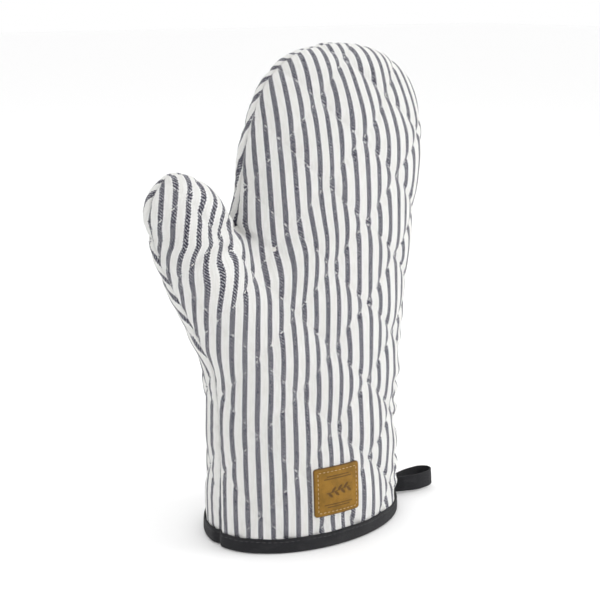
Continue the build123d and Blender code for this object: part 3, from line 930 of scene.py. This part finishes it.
def pressed_motif(x, z):
    """How deep the label's motif is pressed in, 0 to 1: a plain sprig between two double rules."""
    def stroke(distance, half_width):
        return np.clip(1.5 - distance / half_width, 0, 1)
    marks = np.zeros_like(x)
    for level in (9.4, 7.9, -8.2, -9.7):
        reach = 9.5 if abs(level) < 9 else 7.5
        marks = np.maximum(marks, stroke(np.hypot(past(x, reach), z - level), 0.30))
    stem = np.hypot(past(x, 8.0), z - 0.9 * np.sin(x / 5.5))
    marks = np.maximum(marks, stroke(stem, 0.28))
    for k, spot in enumerate(np.linspace(-6.6, 6.6, 7)):
        tilt = 0.75 if k % 2 else -0.75
        reach_x, reach_z = spot + 1.5 * np.cos(tilt), 0.9 * np.sin(spot / 5.5) + 2.3 * np.sin(tilt)
        along = (x - reach_x) * np.cos(tilt) + (z - reach_z) * np.sin(tilt)
        side = -(x - reach_x) * np.sin(tilt) + (z - reach_z) * np.cos(tilt)
        leaf = np.sqrt((along / 2.0) ** 2 + (side / 0.85) ** 2)
        marks = np.maximum(marks, np.clip((1.15 - leaf) / 0.3, 0, 1))
    return marks


def add_label():
    """Leather label with rounded corners and edges, and a pressed motif."""
    half_x, half_z, corner = LABEL_SIZE[0] / 2, LABEL_SIZE[2] / 2, LABEL_CORNER
    grid_x, grid_z = np.meshgrid(np.linspace(-half_x, half_x, 129), np.linspace(-half_z, half_z, 121))
    over_x, over_z = past(grid_x, half_x - corner), past(grid_z, half_z - corner)
    out = np.hypot(over_x, over_z)
    pull = np.where(out > corner, corner / np.maximum(out, 1e-9), 1.0)
    x = np.where(over_x > 0, np.sign(grid_x) * (half_x - corner + over_x * pull), grid_x)
    z = np.where(over_z > 0, np.sign(grid_z) * (half_z - corner + over_z * pull), grid_z)
    over_x, over_z = past(x, half_x - corner), past(z, half_z - corner)
    over = np.where((over_x > 0) & (over_z > 0), np.hypot(over_x, over_z), np.maximum(over_x, over_z))
    edge = np.clip(corner - over, 0, corner)
    marks = pressed_motif(x, z)
    groove = hump(np.abs(np.minimum(half_x - np.abs(x), half_z - np.abs(z)) - LABEL_INSET), 0.45)
    curl = 0.25 * (np.abs(x / half_x) ** 3 + np.abs(z / half_z) ** 3) * ripple(x, z, 41, 20.0)
    top = LABEL_THICK - 0.75 * np.exp(-(edge / 0.5)) - 0.32 * marks - 0.22 * groove + curl * 0.5 + 0.25
    place_x, place_z = x + LABEL_MIDDLE[0], z + LABEL_MIDDLE[2]
    front_points = label_surface(place_x, place_z, top).reshape(-1, 3)
    back_points = label_surface(place_x, place_z, np.full(x.shape, LABEL_BACK)).reshape(-1, 3)
    ids = np.arange(x.size).reshape(x.shape)
    quads = np.stack([ids[:-1, :-1], ids[:-1, 1:], ids[1:, 1:], ids[1:, :-1]], -1).reshape(-1, 4)
    points, faces = closed_layer(front_points, back_points, quads)
    flat = np.concatenate([np.stack([x.ravel(), z.ravel()], 1)] * 2)
    label = add_piece("leather_patch", points, faces, "leather", "mitt", ("leather_label",), flat)
    shade = np.clip(marks + 0.9 * np.exp(-(edge / 0.55)) + 0.25 * groove, 0, 1).ravel()
    attribute = label.data.attributes.new("pressed", "FLOAT", "POINT")
    attribute.data.foreach_set("value", np.concatenate([shade, np.ones_like(shade)]).astype(np.float32))


def add_label_stitches():
    """The row of stitches round the label."""
    paths = []
    reach_x, reach_z = LABEL_SIZE[0] / 2 - LABEL_INSET, LABEL_SIZE[2] / 2 - LABEL_INSET
    lift = LABEL_THICK + 0.12 + np.array([-0.12, 0.05, 0.1, 0.05, -0.12])
    for upright, reach, level in ((False, reach_x, reach_z), (True, reach_z, reach_x)):
        count = int(2 * reach / LABEL_STITCH_PITCH)
        for sign in (-1, 1):
            for middle in (np.arange(count) + 0.5) * 2 * reach / count - reach:
                run = middle + 2 * LABEL_STITCH_HALF * STITCH_SHARES
                fixed = np.full(len(run), sign * level)
                x, z = (fixed, run) if upright else (run, fixed)
                path = label_surface(x + LABEL_MIDDLE[0], z + LABEL_MIDDLE[2], lift)
                out = label_surface(x + LABEL_MIDDLE[0], z + LABEL_MIDDLE[2], lift + 1) - path
                paths.append((path, out))
    points, faces = stitch_mesh(paths, STITCH_RADIUS)
    add_piece("label_stitches", points, faces, "label_thread", "mitt", ("label_stitching",))


def add_loop():
    """Hanging loop: one tape, folded in half, with both ends caught in the side seam."""
    low, high = (np.array(p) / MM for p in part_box("hanging_loop"))
    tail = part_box("loop_tail")[0][0] / MM + 0.5
    root, tip, foot, head = low[0], high[0], low[2], high[2]
    near, far = low[1] + 0.6, high[1] - 0.6
    route = np.array([
        (tail, -0.62), (root - 1.5, -0.64), (root + 4.0, -1.25), (root + 13.0, near * 0.66),
        (root + 23.0, near), (root + 31.0, near * 0.92), (tip - 2.4, near * 0.66),
        (tip - 0.5, near * 0.1 - 1.6),
        (tip - 2.2, far * 0.55 - 1.0), (root + 30.0, far * 0.95), (root + 22.0, far),
        (root + 12.5, far * 0.66), (root + 4.0, 1.05), (root - 1.5, 0.64), (tail, 0.62)])
    knots = walked(route)
    fine = np.linspace(0, knots[-1], LOOP_STEPS)
    path = np.stack([steady_curve(knots, route[:, 0], fine), steady_curve(knots, route[:, 1], fine)], 1)
    direction = unit(np.gradient(path, axis=0))
    out = np.stack([-direction[:, 1], direction[:, 0]], 1)
    to_fold = 1 - np.abs(np.linspace(-1, 1, LOOP_STEPS))
    half_section = np.array([(-1.0, 0.6), (-0.93, 1.0), (-0.8, 0.86), (-0.3, 1.0), (0.3, 1.0), (0.8, 0.86),
                             (0.93, 1.0), (1.0, 0.6)])      # across the tape and through it, each -1 to 1
    section = np.concatenate([[(-1.0, -0.6)], half_section, -half_section[:-1]])
    half, middle = (head - foot) / 2, (foot + head) / 2
    points, flat = [], []
    for k in range(LOOP_STEPS):
        for (up, through), v in zip(section, walked(section * (half, TAPE_HALF))):
            lean = TAPE_LEAN * up * to_fold[k] * np.sign(path[k, 1] + 1.0)
            spot = path[k] - out[k] * (TAPE_HALF * through + lean)
            points.append((spot[0], spot[1], middle + up * half + TAPE_LIFT * to_fold[k]))
            flat.append((fine[k], v))
    size, last = len(section), len(section) * (LOOP_STEPS - 1)
    faces = [(k * size + j, k * size + (j + 1) % size, (k + 1) * size + (j + 1) % size, (k + 1) * size + j)
             for k in range(LOOP_STEPS - 1) for j in range(size)]
    faces += [tuple(range(size - 1, -1, -1)), tuple(range(last, last + size))]
    stands_for = ("hanging_loop", "loop_tail")
    loop = add_piece("hanging_loop_tape", points, faces, "black_binding", None, stands_for, flat)
    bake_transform(loop)


def turned_to(place, aim):
    """The turn of a lamp or camera at a place that looks at another place."""
    return (Vector(aim) - Vector(place)).to_track_quat("-Z", "Y").to_euler()


def add_stage():
    """Pale floor, soft studio light and the camera."""
    mesh = bpy.data.meshes.new("floor")
    corners = [(x * FLOOR_HALF, y * FLOOR_HALF, FLOOR) for x, y in ((-1, -1), (1, -1), (1, 1), (-1, 1))]
    mesh.from_pydata(corners, [], [(0, 1, 2, 3)])
    floor = placed("floor", mesh)
    paint = bpy.data.materials.new("floor")
    paint.use_nodes = True
    shader = paint.node_tree.nodes["Principled BSDF"]
    shader.inputs["Base Color"].default_value = (0.98, 0.98, 0.98, 1)
    shader.inputs["Roughness"].default_value = 0.8
    shader.inputs["Specular IOR Level"].default_value = 0.1
    floor.data.materials.append(paint)
    world = bpy.data.worlds.new("studio")
    world.use_nodes = True
    light = world.node_tree.nodes["Background"].inputs
    light["Color"].default_value = (1, 1, 1, 1)
    light["Strength"].default_value = WORLD_LIGHT
    bpy.context.scene.world = world
    for name, place, power, size in LAMPS:
        lamp = bpy.data.lights.new(name, "AREA")
        lamp.energy, lamp.size = power, size
        holder = placed(name, lamp)
        holder.location, holder.rotation_euler = place, turned_to(place, LAMP_AIM)
    camera = placed("camera", bpy.data.cameras.new("camera"))
    camera.data.lens = CAMERA_LENS
    camera.location, camera.rotation_euler = CAMERA_PLACE, turned_to(CAMERA_PLACE, CAMERA_AIM)
    bpy.context.scene.camera = camera
    bpy.context.scene.view_settings.view_transform = "Standard"


add_stage()
for side, name in ((FRONT, "front"), (PALM, "palm")):
    panel = Panel(side)
    add_panel(panel, name)
    panel.ready_lookup()
    points, faces = stitch_mesh(quilting_paths(panel), STITCH_RADIUS)
    stands_for = (name + "_quilting_thread",)
    add_piece(name + "_quilting_stitches", points, faces, "white_thread", "mitt", stands_for)
add_binding()
add_label()
add_label_stitches()
add_loop()
for material_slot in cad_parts["turned_seam_allowance"].material_slots:
    material_slot.material = MATERIALS["white_thread"]
